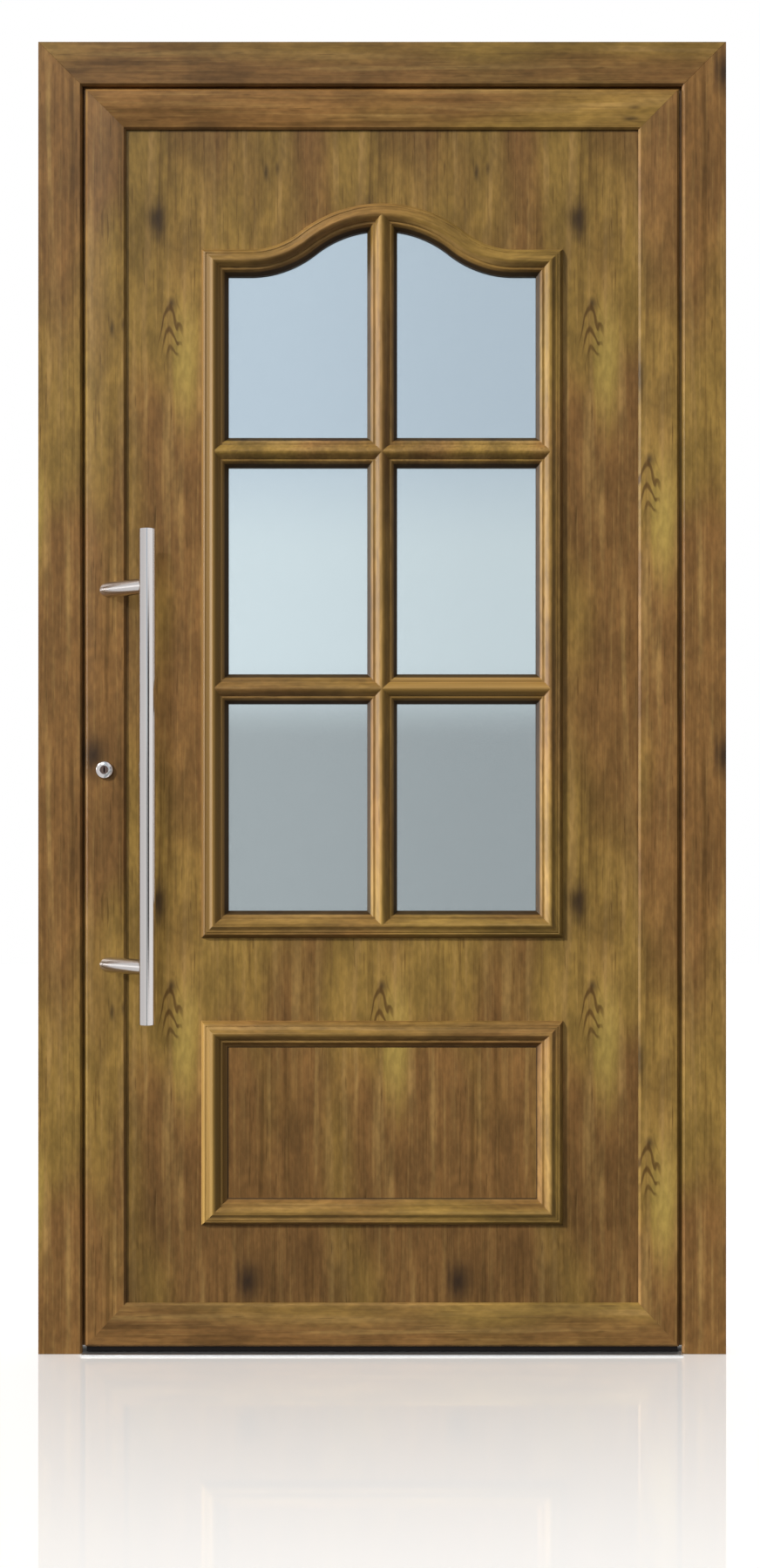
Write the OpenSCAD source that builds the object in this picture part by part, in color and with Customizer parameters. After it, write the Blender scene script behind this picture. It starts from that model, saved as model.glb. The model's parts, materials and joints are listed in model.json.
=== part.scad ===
// Panelled front door in its frame: a profile leaf with an arched, barred window,
// a raised lower field, a slanted-support pull bar, and a lock with pin bolts.
// Millimetres. X runs across the door, Y from outside to inside, Z up from the floor.
// Sections are drawn as (u, v): u inwards from the frame's outer edge, v inwards from the outside face.

/* [Door set] */
// Width over the frame
set_w = 1100; // [1040:10:1200]
// Height over the frame
set_h = 2100; // [2060:10:2250]
// Depth of the profiles, outside face to inside face
set_d = 75; // [74:1:84]

/* [Frame profiles] */
// Face width of the frame seen from outside
frame_face = 70; // [66:1:80]
// Width of the hollow box of the frame
frame_box = 50; // [46:1:54]
// Thickness of the stop fin that the leaf closes against
stop_fin_t = 8; // [6:0.5:8]
// Wall of the hollow profiles
wall = 2.5; // [2:0.1:3]
// Bevel along the outside edges of frame and leaf
edge_bevel = 3.5; // [2:0.5:6]
// Gap between frame and leaf seen from outside
shadow_gap = 5; // [4:0.5:8]
// Gap between the frame box and the leaf's edge, where the lock plates sit
rebate_gap = 12; // [11:0.5:14]

/* [Leaf profiles] */
// Face width of the stiles and of the top rail
stile_face = 65; // [62:1:75]
// Face width of the bottom rail
bottom_face = 70; // [64:1:90]
// Underside of the leaf above the floor
leaf_lift = 12; // [10:0.5:16]
// Width of the lip that holds the panel from outside
lip_w = 22; // [18:1:24]
// Thickness of that lip
lip_t = 4; // [3:0.5:5]
// Bevel on the lip's edge
lip_bevel = 3.5; // [1:0.25:3.5]
// Room for the stop gasket between the fin and the leaf
gasket_room = 4; // [3:0.5:5]
// Clearance that a soft seal keeps to what it closes on
seal_gap = 0.3; // [0.2:0.05:0.5]

/* [Panel and glass] */
// Thickness of the door panel
panel_t = 40; // [36:1:42]
// Thickness of the panel's outside gasket
panel_gasket_t = 2; // [1:0.5:3]
// Free edge between the panel and its rebate
panel_play = 5; // [3:0.5:7]
// Thickness of one glass pane
pane_t = 4; // [3:0.5:6]
// Thickness of the sealed glass unit
unit_t = 24; // [20:1:26]
// Thickness of the seal between glass and moulding
glass_seal_t = 2; // [1:0.5:3]
// Cover of the moulding over the glass edge
glass_cover = 8.5; // [6:0.5:9]
// Free edge between the glass and the panel's cut-out
glass_play = 3; // [2.6:0.1:4]

/* [Window] */
// Width of the window inside its moulding
window_w = 493; // [420:1:520]
// Lower edge of the window above the floor
window_bottom = 709; // [680:1:760]
// Distance of the window's flat shoulders below the top of the frame
window_drop = 374; // [340:1:420]
// Width of the raised middle of the arch
arch_span = 424; // [360:1:424]
// Rise of the arch over the shoulders
arch_rise = 74; // [50:1:90]
// Distance of the upper crossbar below the window's shoulders
upper_bar_drop = 282.5; // [230:0.5:330]
// Distance of the lower crossbar below the middle of the two lower rows
lower_bar_drop = 11.75; // [0:0.25:40]
// Width of the glazing bars
bar_w = 48; // [42:1:52]
// Height of the glazing bars over the panel face
bar_h = 16.5; // [12:0.5:17]

/* [Moulding] */
// Width of the moulding
moulding_w = 43; // [38:0.5:46]
// Distance of the moulding's crest from its inner edge
crest = 23.4; // [21:0.2:25]
// Height of the moulding's crest over the panel face
moulding_h = 17; // [12:0.5:20]
// Width of the lower field inside its moulding
field_w = 493; // [400:1:520]
// Lower edge of the field inside its moulding
field_bottom = 249; // [220:1:280]
// Upper edge of the field inside its moulding
field_top = 490; // [440:1:540]

/* [Threshold] */
// Height of the threshold under the leaf
sill_h = 4; // [3.5:0.5:6]
// Height of the threshold's front nose
nose_h = 2.5; // [2:0.25:3.5]
// Reach of the nose in front of the frame
nose_reach = 15; // [8:1:25]

/* [Pull bar] */
// Diameter of the bar
pull_d = 26; // [20:1:32]
// Length of the bar
pull_len = 780; // [680:5:900]
// Height of the bar's middle
pull_z = 923; // [860:1:980]
// Distance between the two supports
pull_spacing = 600; // [480:5:620]
// Distance of the bar's axis from the leaf's face
pull_reach = 65; // [55:1:80]
// Diameter of the slanted supports
support_d = 25; // [16:1:26]
// Place of the supports' feet, from the leaf's edge
support_set = 41; // [38:0.5:44]

/* [Lock] */
// Height of the key cylinder
key_z = 935; // [900:1:980]
// Distance of the key cylinder from the leaf's edge
key_set = 31; // [29:0.5:33]
// Height of the lever over the key cylinder
lever_rise = 92; // [88:1:94]
// Depth of the lock's middle plane from the outside face
lock_v = 28; // [27:0.5:29]
// Throw of the bolts
bolt_throw = 20; // [16:0.5:22]
// Throw of the latch
latch_throw = 12; // [10:0.5:14]
// Clearance round bolts, cases and cylinders
lock_play = 0.3; // [0.2:0.05:0.4]
// Distance of the upper pin bolt below the top of the frame
upper_pin_drop = 540; // [450:5:650]
// Height of the lower pin bolt
lower_pin_z = 380; // [330:5:450]
// Diameter of the rose round the keyhole
rose_d = 28; // [27:0.5:32]
// Length of the lever's grip
grip_len = 118; // [100:1:140]
// Diameter of the lever
grip_d = 19; // [16:0.5:22]

/* [Hinges] */
// Height of one hinge
hinge_h = 100; // [80:1:120]
// Diameter of the hinge barrel
barrel_d = 18; // [16:0.5:18]
// Diameter of the hinge pin
pin_d = 9; // [7:0.5:10]
// Distance of the lowest and highest hinge from the ends of the frame
hinge_end = 260; // [220:5:300]
// Height of the middle hinge's middle
hinge_mid = 1070; // [950:5:1150]

/* [Fixings] */
// Diameter of the wall fixing holes through the jambs
fixing_d = 10.5; // [8:0.5:12]
// Depth of the fixing holes from the outside face
fixing_v = 56.25; // [52:0.25:60]
// Distance of the fixing holes from the ends of the jambs
fixing_inset = 180; // [120:5:240]

/* [Hidden] */
$fn = 48;
eps = 1;

// Stations across the section, from the frame's outer edge inwards
u_leaf = frame_face + shadow_gap;
u_sight = u_leaf + stile_face;
u_rebate = u_sight - lip_w;
u_box = frame_box + rebate_gap;
u_fin = frame_box + shadow_gap;
u_far = u_sight + lip_w;

// Stations through the depth, from the outside face inwards
v_shoulder = stop_fin_t + gasket_room;
inside_fin_t = 8;
v_fin = set_d - inside_fin_t;
v_panel = lip_t + panel_gasket_t;
v_panel_in = v_panel + panel_t;
v_mid_panel = v_panel + panel_t / 2;
v_glass = v_mid_panel - unit_t / 2;
v_glass_in = v_mid_panel + unit_t / 2;
sash_web_v = lock_v + 15;
glass_back = v_glass - v_panel;

// Heights
sight_top = set_h - u_sight;
sight_bottom = leaf_lift + bottom_face;
bottom_rebate = sight_bottom - lip_w;
window_shoulder = set_h - window_drop;
upper_bar_z = window_shoulder - upper_bar_drop;
lower_bar_z = (window_bottom + upper_bar_z) / 2 - lower_bar_drop;
lever_z = key_z + lever_rise;
deadbolt_rise = 45;
latch_rise = 34;
deadbolt_z = key_z + deadbolt_rise;
latch_z = lever_z + latch_rise;
rail_slope = bottom_face / stile_face;

// Lock and hinge places
upper_pin_z = set_h - upper_pin_drop;
hinge_low = hinge_end;
hinge_high = set_h - hinge_end;
key_u = u_leaf + key_set;
plate_t = 3;
plate_w = 20;
plate_u = u_box - plate_t;
strike_t = 3;
bolt_guide = 16;
bolt_len = bolt_throw + bolt_guide;
bolt_h = 34;
bolt_t = 10;
latch_h = 22;
latch_t = 12;
pin_bolt_d = 14;
case_t = 16;
case_u = u_rebate - wall - lock_play;
case_foot = 24;
case_head = 19;
case_low = key_z - case_foot;
case_high = latch_z + case_head;
pin_case_h = 60;
plate_foot = 200;
plate_head = 260;
plate_low = lower_pin_z - plate_foot;
plate_high = upper_pin_z + plate_head;
cylinder_d = 22;
plug_d = 13;
plug_play = 0.05;
rose_t = 6;
rose_front = 2.5;
keyway_w = 2.2;
keyway_h = 9;
keyway_d = 20;
spindle_w = 8;
spindle_hole = 18;
lever_rose_w = 32;
lever_rose_h = 74;
lever_rose_t = 8;
lever_reach = 58;
bend_r = 16;
journal_d = 16;
grip_edge = 1.5;
hinge_x = set_w / 2 - frame_box - shadow_gap / 2;
hinge_y = set_d / 2 + 0.5 + barrel_d / 2;
hinge_plate_t = 4;
hinge_plate_w = 32;
knuckle_gap = 0.3;
knuckle_share = 0.3;
hinge_screw_inset = 14;
pin_play = 0.05;
hinge_heights = [hinge_low, hinge_mid, hinge_high];
screw_d = 4.5;
screw_head_d = 8.5;
screw_len = 14;
screw_play = 0.1;
cleat_len = 90;
pin_heights = [lower_pin_z, upper_pin_z];
plate_screw_inset = 25;
plate_screw_drop = 95;
plate_screw_rise = 40;
plate_screw_heights = [
  plate_low + plate_screw_inset, deadbolt_z - plate_screw_drop, latch_z + plate_screw_rise,
  plate_high - plate_screw_inset
];
strike_foot = 40;
strike_head = 32;
strike_low = deadbolt_z - strike_foot;
strike_high = latch_z + strike_head;
pin_strike_h = 80;
wood = [0.54, 0.42, 0.25];
dark_wood = [0.46, 0.35, 0.20];
steel = [0.76, 0.75, 0.74];
black = [0.09, 0.09, 0.09];
brass = [0.70, 0.60, 0.36];
glass = [0.75, 0.82, 0.86, 0.6];

// Places
function left_x(u) = -set_w / 2 + u;
function depth(v) = -set_d / 2 + v;
function bottom_mitre(u) = leaf_lift + (u - u_leaf) * rail_slope;

// Points of an arc of radius r about c from angle a to angle b
function arc(c, r, a, b, n) = [for (i = [0:n]) c + r * [cos(a + (b - a) * i / n), sin(a + (b - a) * i / n)]];

// Outline of the arched window, moved outwards by d: a flat shoulder on each side,
// then an S of two equal arcs to the crown
arch_turn = 2 * atan(2 * arch_rise / arch_span);
arch_r = arch_span / 4 / sin(arch_turn);
arch_steps = 6;
function window_outline(d) = concat(
  [[-window_w / 2 - d, window_bottom - d], [window_w / 2 + d, window_bottom - d]],
  [[window_w / 2 + d, window_shoulder + d]],
  arc([arch_span / 2, window_shoulder + arch_r], arch_r - d, -90, -90 - arch_turn, arch_steps),
  arc([0, window_shoulder + arch_rise - arch_r], arch_r + d, 90 - arch_turn, 90 + arch_turn, 2 * arch_steps),
  arc([-arch_span / 2, window_shoulder + arch_r], arch_r - d, -90 + arch_turn, -90, arch_steps),
  [[-window_w / 2 - d, window_shoulder + d]]
);
function field_outline(d) = [
  [-field_w / 2 - d, field_bottom - d], [field_w / 2 + d, field_bottom - d],
  [field_w / 2 + d, field_top + d], [-field_w / 2 - d, field_top + d]
];

// The side of a moulding or bar towards the glass, as shares of the way to its crest and of the crest's
// height: a steep edge, a bevel, a narrow tread, and a slope that rounds over to the crest
inner_side = [
  [0, -0.17], [0.18, 0.13], [0.41, 0.465], [0.53, 0.485], [0.53, 0.54], [0.795, 0.876], [0.905, 0.97], [1, 1]
];
// The moulding's side away from the glass, as shares of the way from its crest and of the crest's height:
// a hollow back, a quirk and a round outer bead
outer_side = [
  [0.14, 0.94], [0.29, 0.8], [0.41, 0.725], [0.56, 0.66], [0.59, 0.59], [0.64, 0.59], [0.68, 0.63],
  [0.81, 0.58], [0.92, 0.435], [0.98, 0.23], [1, 0]
];
moulding_face = concat(
  [for (p = inner_side) [crest * p[0], moulding_h * p[1]]],
  [for (p = outer_side) [crest + (moulding_w - crest) * p[0], moulding_h * p[1]]]
);
rebate_foot = glass_cover + glass_play - lock_play;
window_section = concat(
  moulding_face,
  [[rebate_foot, 0], [rebate_foot, glass_seal_t - glass_back], [0, glass_seal_t - glass_back]]
);
field_section = concat([[0, 0]], [for (i = [1:len(moulding_face) - 1]) moulding_face[i]]);

// Glazing bar section as [distance from its middle, height over the panel]
bar_half = bar_w / 2;
cope_play = 0.3;
bar_side = concat(
  [[bar_half, -glass_back]],
  [for (i = [0:len(inner_side) - 2]) [bar_half * (1 - inner_side[i][0]), bar_h * inner_side[i][1]]]
);
bar_section = concat(
  bar_side,
  [[0, bar_h]],
  [for (i = [len(bar_side) - 1:-1:0]) [-bar_side[i][0], bar_side[i][1]]]
);

// Section of the frame: a two-chamber box with the stop fin on its outside edge
module frame_section() {
  mid = set_d / 2;
  difference() {
    polygon([
      [0, 0], [frame_face - edge_bevel, 0], [frame_face, edge_bevel], [frame_face, stop_fin_t],
      [frame_box, stop_fin_t], [frame_box, set_d], [0, set_d]
    ]);
    translate([wall, wall]) square([frame_box - 2 * wall, mid - 1.5 * wall]);
    translate([wall, mid + wall / 2]) square([frame_box - 2 * wall, mid - 1.5 * wall]);
  }
}

// Section of stiles and top rail: panel lip outside, two chambers, closing fin inside
module sash_section() {
  difference() {
    polygon([
      [u_leaf + edge_bevel, 0], [u_sight - lip_bevel, 0], [u_sight, lip_bevel], [u_sight, lip_t],
      [u_rebate, lip_t], [u_rebate, set_d], [u_fin, set_d], [u_fin, v_fin], [u_box, v_fin],
      [u_box, v_shoulder], [u_leaf, v_shoulder], [u_leaf, edge_bevel]
    ]);
    sash_chambers(u_box + wall);
  }
}

// The two chambers of a leaf profile, from u to the panel rebate
module sash_chambers(u) {
  w = u_rebate - wall - u;
  translate([u, v_shoulder + wall]) square([w, sash_web_v - v_shoulder - 2 * wall]);
  translate([u, sash_web_v]) square([w, set_d - wall - sash_web_v]);
}

// Section of the bottom rail, with u measured up from the leaf's underside
module bottom_section() {
  w = bottom_face - lip_w - 2 * wall;
  difference() {
    polygon([
      [edge_bevel, 0], [bottom_face - lip_bevel, 0], [bottom_face, lip_bevel], [bottom_face, lip_t],
      [bottom_face - lip_w, lip_t], [bottom_face - lip_w, set_d], [0, set_d], [0, edge_bevel]
    ]);
    translate([wall, v_shoulder + wall]) square([w, sash_web_v - v_shoulder - 2 * wall]);
    translate([wall, sash_web_v]) square([w, set_d - wall - sash_web_v]);
  }
}

// Section of a glazing bead behind the panel, from u = foot inwards over the width of the lip
bead_bevel = 5;
module bead_section(foot) {
  tip = foot + lip_w;
  polygon([
    [foot, v_panel_in], [tip, v_panel_in], [tip, set_d - bead_bevel], [tip - bead_bevel, set_d], [foot, set_d]
  ]);
}

// Bars of a section: up the lock side, along the top, and along the bottom
module upright(length) translate([left_x(0), depth(0), 0]) linear_extrude(length) children();
module along_top()
  translate([left_x(0), depth(0), set_h]) rotate([0, 90, 0]) linear_extrude(set_w) children();
module along_bottom(z)
  translate([set_w / 2, depth(0), z]) rotate([0, -90, 0]) linear_extrude(set_w) children();
module other_side() mirror([1, 0, 0]) children();

// A prism through the whole depth over an outline in the door's plane
module through(points)
  translate([0, set_d, 0]) rotate([90, 0, 0]) linear_extrude(2 * set_d) polygon(points);
// A slab over an outline in the door's plane, from depth v over a thickness t
module slab(points, v, t)
  translate([0, depth(v + t), 0]) rotate([90, 0, 0]) linear_extrude(t) polygon(points);
module ring(outer, inner, v, t) difference() {
  slab(outer, v, t);
  slab(inner, v - eps, t + 2 * eps);
}
// A round bar across the depth from v over a length
module across(x, z, v, length, d)
  translate([x, depth(v), z]) rotate([-90, 0, 0]) cylinder(d = d, h = length);
// A round bar inwards from u over a length, on the lock side
module inwards(u, v, z, length, d)
  translate([left_x(u), depth(v), z]) rotate([0, 90, 0]) cylinder(d = d, h = length);
// A block on the lock side, centred at depth v and height z
module block(u, length, v, t, z, h)
  translate([left_x(u), depth(v) - t / 2, z - h / 2]) cube([length, t, h]);

// Mitre outlines of the members
function jamb_outline() = [
  [left_x(0), 0], [left_x(frame_face), 0], [left_x(frame_face), set_h - frame_face], [left_x(0), set_h]
];
function head_outline() = [
  [left_x(0), set_h], [-left_x(0), set_h], [-left_x(frame_face), set_h - frame_face],
  [left_x(frame_face), set_h - frame_face]
];
function stile_outline() = [
  [left_x(frame_box), leaf_lift], [left_x(u_leaf), leaf_lift], [left_x(u_far), bottom_mitre(u_far)],
  [left_x(u_far), set_h - u_far], [left_x(frame_box), set_h - frame_box]
];
function top_outline() = [
  [left_x(frame_box), set_h - frame_box], [-left_x(frame_box), set_h - frame_box],
  [-left_x(u_far), set_h - u_far], [left_x(u_far), set_h - u_far]
];
function bottom_outline() = [
  [left_x(u_leaf), leaf_lift], [-left_x(u_leaf), leaf_lift], [-left_x(u_far), bottom_mitre(u_far)],
  [left_x(u_far), bottom_mitre(u_far)]
];

// A rectangle round the sight opening, moved outwards by d
function sight_outline(d) = [
  [left_x(u_sight - d), sight_bottom - d], [-left_x(u_sight - d), sight_bottom - d],
  [-left_x(u_sight - d), sight_top + d], [left_x(u_sight - d), sight_top + d]
];

// A section carried round an outline and closed on itself; height is towards the outside
module swept_ring(section, outlines) {
  n = len(outlines[0]);
  m = len(section);
  points = [for (j = [0:m - 1]) for (p = outlines[j]) [p[0], depth(v_panel) - section[j][1], p[1]]];
  faces = [for (j = [0:m - 1]) for (i = [0:n - 1])
    [j * n + i, (j + 1) % m * n + i, (j + 1) % m * n + (i + 1) % n, j * n + (i + 1) % n]];
  polyhedron(points, faces, convexity = 8);
}
module window_ring() swept_ring(window_section, [for (p = window_section) window_outline(p[0])]);
module field_ring() swept_ring(field_section, [for (p = field_section) field_outline(p[0])]);

// Pieces on the outside face of the panel, turned to its inside face
module inside_face() translate([0, 2 * depth(v_mid_panel), 0]) mirror([0, 1, 0]) children();

// Glazing bars before they are coped
module upright_bar() {
  length = window_shoulder + arch_rise - window_bottom + moulding_w;
  translate([0, depth(v_panel), window_bottom - moulding_w / 2])
    linear_extrude(length) mirror([0, 1]) polygon(bar_section);
}
module cross_bar(z) {
  length = window_w + moulding_w;
  translate([-length / 2, depth(v_panel), z]) rotate([90, 0, 90]) linear_extrude(length)
    rotate(90) polygon(bar_section);
}
// What the window moulding takes out of a bar's end: its face, carried down to the glass
cope_section = concat(moulding_face, [[moulding_w, -glass_back - eps], [0, -glass_back - eps]]);
module side_cope(z) translate([-window_w / 2, depth(v_panel), z - bar_w])
  linear_extrude(2 * bar_w) polygon([for (p = cope_section) [cope_play - p[0], -p[1]]]);
module bottom_cope() translate([-bar_w, depth(v_panel), window_bottom]) rotate([90, 0, 90])
  linear_extrude(2 * bar_w) polygon([for (p = cope_section) [-p[1], cope_play - p[0]]]);
module crown_cope() translate([0, depth(v_panel), window_shoulder + arch_rise - arch_r]) rotate([90, 0, 0])
  rotate_extrude(angle = 180) polygon([for (p = cope_section) [arch_r + p[0] - cope_play, p[1]]]);
// The bars reach in under the slope of the moulding, as far as its crest
module inside_crest(points) intersection() {
  children();
  slab(points, v_panel - moulding_h - eps, moulding_h + glass_back + 2 * eps);
}
module mullion() difference() {
  inside_crest(window_outline(crest)) upright_bar();
  bottom_cope();
  crown_cope();
}
module crossbars() for (z = [lower_bar_z, upper_bar_z]) difference() {
  inside_crest(window_outline(crest)) cross_bar(z);
  side_cope(z);
  other_side() side_cope(z);
  upright_bar();
}

// A countersunk screw along +Z from its flat head
module screw(play = 0) {
  head_h = (screw_head_d - screw_d) / 2;
  rotate_extrude() polygon([
    [0, 0], [screw_head_d / 2 + play, 0], [screw_d / 2 + play, head_h],
    [screw_d / 2 + play, screw_len + play], [0, screw_len + play]
  ]);
}

// Frame
module lock_jamb() color(wood) difference() {
  intersection() {
    upright(set_h) frame_section();
    through(jamb_outline());
  }
  jamb_fixing_holes();
  strike_slots(frame_box - wall - eps, wall + 2 * eps);
  strike_screw_set(screw_play);
}
module hinge_jamb() color(wood) difference() {
  other_side() intersection() {
    upright(set_h) frame_section();
    through(jamb_outline());
  }
  other_side() jamb_fixing_holes();
  hinge_screw_set(1, screw_play);
}
module jamb_fixing_holes() for (z = [fixing_inset, set_h - fixing_inset])
  inwards(-eps, fixing_v, z, frame_box + 2 * eps, fixing_d);
module frame_head() color(wood) intersection() {
  along_top() frame_section();
  through(head_outline());
}
module frame_corner_cleats() color(steel) {
  lock_side_cleat();
  other_side() lock_side_cleat();
}
module lock_side_cleat() {
  in = wall + lock_play;
  out = frame_box - wall - lock_play;
  slab([
    [left_x(in), set_h - in], [left_x(in), set_h - in - cleat_len], [left_x(out), set_h - in - cleat_len],
    [left_x(out), set_h - out], [left_x(in + cleat_len), set_h - out], [left_x(in + cleat_len), set_h - in]
  ], in, set_d / 2 - 1.5 * wall - 2 * lock_play);
}
module frame_gasket() color(black) {
  inset = 1.5;
  lip = frame_face - u_box - inset;
  outer = u_box + inset / 2;
  difference() {
    slab([
      [left_x(outer), sill_h], [left_x(outer), set_h - outer], [-left_x(outer), set_h - outer],
      [-left_x(outer), sill_h]
    ], stop_fin_t, gasket_room - seal_gap);
    slab([
      [left_x(outer + lip), 0], [left_x(outer + lip), set_h - outer - lip],
      [-left_x(outer + lip), set_h - outer - lip], [-left_x(outer + lip), 0]
    ], stop_fin_t - eps, gasket_room + 2 * eps);
  }
}
module threshold() color(steel) {
  ramp = 12;
  half = set_w / 2 - frame_box;
  difference() {
    translate([-half, depth(0), 0]) rotate([90, 0, 90]) linear_extrude(2 * half) polygon([
      [-nose_reach, 0], [-nose_reach, nose_h - 1], [1 - nose_reach, nose_h], [1, nose_h],
      [1 + ramp, sill_h], [set_d - ramp, sill_h], [set_d, nose_h], [set_d, 0]
    ]);
    for (side = [-1, 1])
      translate([side * half, depth(stop_fin_t) - set_d / 2, 0])
        cube([2 * (frame_face - frame_box), set_d, 4 * sill_h], center = true);
  }
}

// Slots for the bolts, from u over a length
module strike_slots(u, length) {
  block(u, length, lock_v, bolt_t + 3, deadbolt_z, bolt_h + 4);
  block(u, length, lock_v, latch_t + 3, latch_z, latch_h + 4);
  for (z = pin_heights) inwards(u, lock_v, z, length, pin_bolt_d + 4);
}
strike_screw_heights = [
  strike_low + 8, strike_high - 8,
  for (z = pin_heights) z - pin_strike_h / 2 + 10, for (z = pin_heights) z + pin_strike_h / 2 - 10
];
module strike_screw_set(play) for (z = strike_screw_heights)
  translate([left_x(frame_box + strike_t), depth(lock_v), z]) rotate([0, -90, 0]) screw(play);
module strike(low, high) color(steel) difference() {
  block(frame_box, strike_t, lock_v, plate_w + 2, (low + high) / 2, high - low);
  strike_slots(frame_box - eps, strike_t + 2 * eps);
  strike_screw_set(screw_play);
}
module lock_strike() strike(strike_low, strike_high);
module upper_pin_strike() strike(upper_pin_z - pin_strike_h / 2, upper_pin_z + pin_strike_h / 2);
module lower_pin_strike() strike(lower_pin_z - pin_strike_h / 2, lower_pin_z + pin_strike_h / 2);
module strike_screws() color(steel) strike_screw_set(0);

// Hinges: a frame leaf with two knuckles, a sash leaf with one between them, and a pin
knuckle = hinge_h * knuckle_share;
plate_start = barrel_d / 2 + 1.5;
module hinge_plate(side, low, high, tab_low, tab_high) {
  x = side > 0 ? plate_start : -plate_start - hinge_plate_w;
  translate([hinge_x + x, set_d / 2, low]) cube([hinge_plate_w, hinge_plate_t, high - low]);
  translate([hinge_x + min(0, side * (plate_start + eps)), set_d / 2 + 0.4, tab_low])
    cube([plate_start + eps, hinge_plate_t - 0.4, tab_high - tab_low]);
}
module knuckle_ring(low, high) translate([hinge_x, hinge_y, low]) cylinder(d = barrel_d, h = high - low);
module pin_bore(low, high, d)
  translate([hinge_x, hinge_y, low - eps]) cylinder(d = d, h = high - low + 2 * eps);
module hinge_frame_leaf(z) color(steel) {
  low = z - hinge_h / 2;
  high = z + hinge_h / 2;
  difference() {
    union() {
      hinge_plate(1, low, high, low, low + knuckle);
      hinge_plate(1, low, high, high - knuckle, high);
      knuckle_ring(low, low + knuckle);
      knuckle_ring(high - knuckle, high);
    }
    pin_bore(low, high, pin_d);
    hinge_screw_set(1, screw_play);
  }
}
module hinge_sash_leaf(z) color(steel) {
  low = z - hinge_h / 2;
  high = z + hinge_h / 2;
  difference() {
    union() {
      hinge_plate(-1, low, high, low + knuckle + knuckle_gap, high - knuckle - knuckle_gap);
      knuckle_ring(low + knuckle + knuckle_gap, high - knuckle - knuckle_gap);
    }
    pin_bore(low, high, pin_d + 2 * pin_play);
    hinge_screw_set(-1, screw_play);
  }
}
module hinge_screw_set(side, play) for (z = hinge_heights) for (end = [-1, 1])
  translate([
    hinge_x + side * (plate_start + hinge_plate_w / 2), set_d / 2 + hinge_plate_t,
    z + end * (hinge_h / 2 - hinge_screw_inset)
  ]) rotate([90, 0, 0]) screw(play);
module upper_hinge_frame_leaf() hinge_frame_leaf(hinge_high);
module middle_hinge_frame_leaf() hinge_frame_leaf(hinge_mid);
module lower_hinge_frame_leaf() hinge_frame_leaf(hinge_low);
module upper_hinge_sash_leaf() hinge_sash_leaf(hinge_high);
module middle_hinge_sash_leaf() hinge_sash_leaf(hinge_mid);
module lower_hinge_sash_leaf() hinge_sash_leaf(hinge_low);
module hinge_pins() color(steel) for (z = hinge_heights)
  translate([hinge_x, hinge_y, z - hinge_h / 2]) cylinder(d = pin_d, h = hinge_h);
module hinge_frame_screws() color(steel) hinge_screw_set(1, 0);
module hinge_sash_screws() color(steel) hinge_screw_set(-1, 0);

// Leaf
module lock_stile() color(wood) difference() {
  intersection() {
    upright(set_h) sash_section();
    through(stile_outline());
  }
  lock_cut_outs();
}
module lock_cut_outs() {
  edge = wall + 2 * eps;
  block(u_box - eps, edge, lock_v, case_t + 2 * lock_play, (case_low + case_high) / 2,
    case_high - case_low + 2 * lock_play);
  for (z = pin_heights)
    block(u_box - eps, edge, lock_v, case_t + 2 * lock_play, z, pin_case_h + 2 * lock_play);
  across(left_x(key_u), key_z, -eps, set_d + 2 * eps, cylinder_d + 2 * lock_play);
  across(left_x(key_u), lever_z, lock_v, set_d, spindle_hole);
  faceplate_screw_set(screw_play);
}
module hinge_stile() color(wood) difference() {
  other_side() intersection() {
    upright(set_h) sash_section();
    through(stile_outline());
  }
  hinge_screw_set(-1, screw_play);
}
module top_rail() color(wood) intersection() {
  along_top() sash_section();
  through(top_outline());
}
module bottom_rail() color(wood) intersection() {
  along_bottom(leaf_lift) bottom_section();
  through(bottom_outline());
}
module sash_corner_cleats() color(steel) {
  lock_side_sash_cleat();
  other_side() lock_side_sash_cleat();
}
module lock_side_sash_cleat() {
  in = u_box + wall + lock_play;
  out = u_rebate - wall - lock_play;
  end = in + cleat_len;
  t = sash_web_v - v_shoulder - 2 * wall - 2 * lock_play;
  slab([
    [left_x(in), set_h - in], [left_x(in), set_h - end], [left_x(out), set_h - end],
    [left_x(out), set_h - out], [left_x(end), set_h - out], [left_x(end), set_h - in]
  ], v_shoulder + wall + lock_play, t);
  foot = leaf_lift + wall + lock_play;
  head = min(bottom_rebate - wall, bottom_mitre(u_rebate - wall)) - lock_play;
  slab([
    [left_x(in), foot], [left_x(end), foot], [left_x(end), head],
    [left_x(out), head], [left_x(out), foot + cleat_len], [left_x(in), foot + cleat_len]
  ], v_shoulder + wall + lock_play, t);
}
// Two soft lips under the leaf, just clear of the threshold
sweep_start = 4;
sweep_w = 40;
sweep_lip = 8;
module door_sweep() color(black) {
  half = set_w / 2 - u_leaf - 2;
  low = sill_h + seal_gap;
  mid = (low + leaf_lift) / 2;
  end = sweep_start + sweep_w;
  translate([-half, depth(0), 0]) rotate([90, 0, 90]) linear_extrude(2 * half) polygon([
    [sweep_start, leaf_lift], [sweep_start, low], [sweep_start + sweep_lip, low],
    [sweep_start + 1.5 * sweep_lip, mid],
    [end - 1.5 * sweep_lip, mid], [end - sweep_lip, low], [end, low], [end, leaf_lift]
  ]);
}

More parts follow.
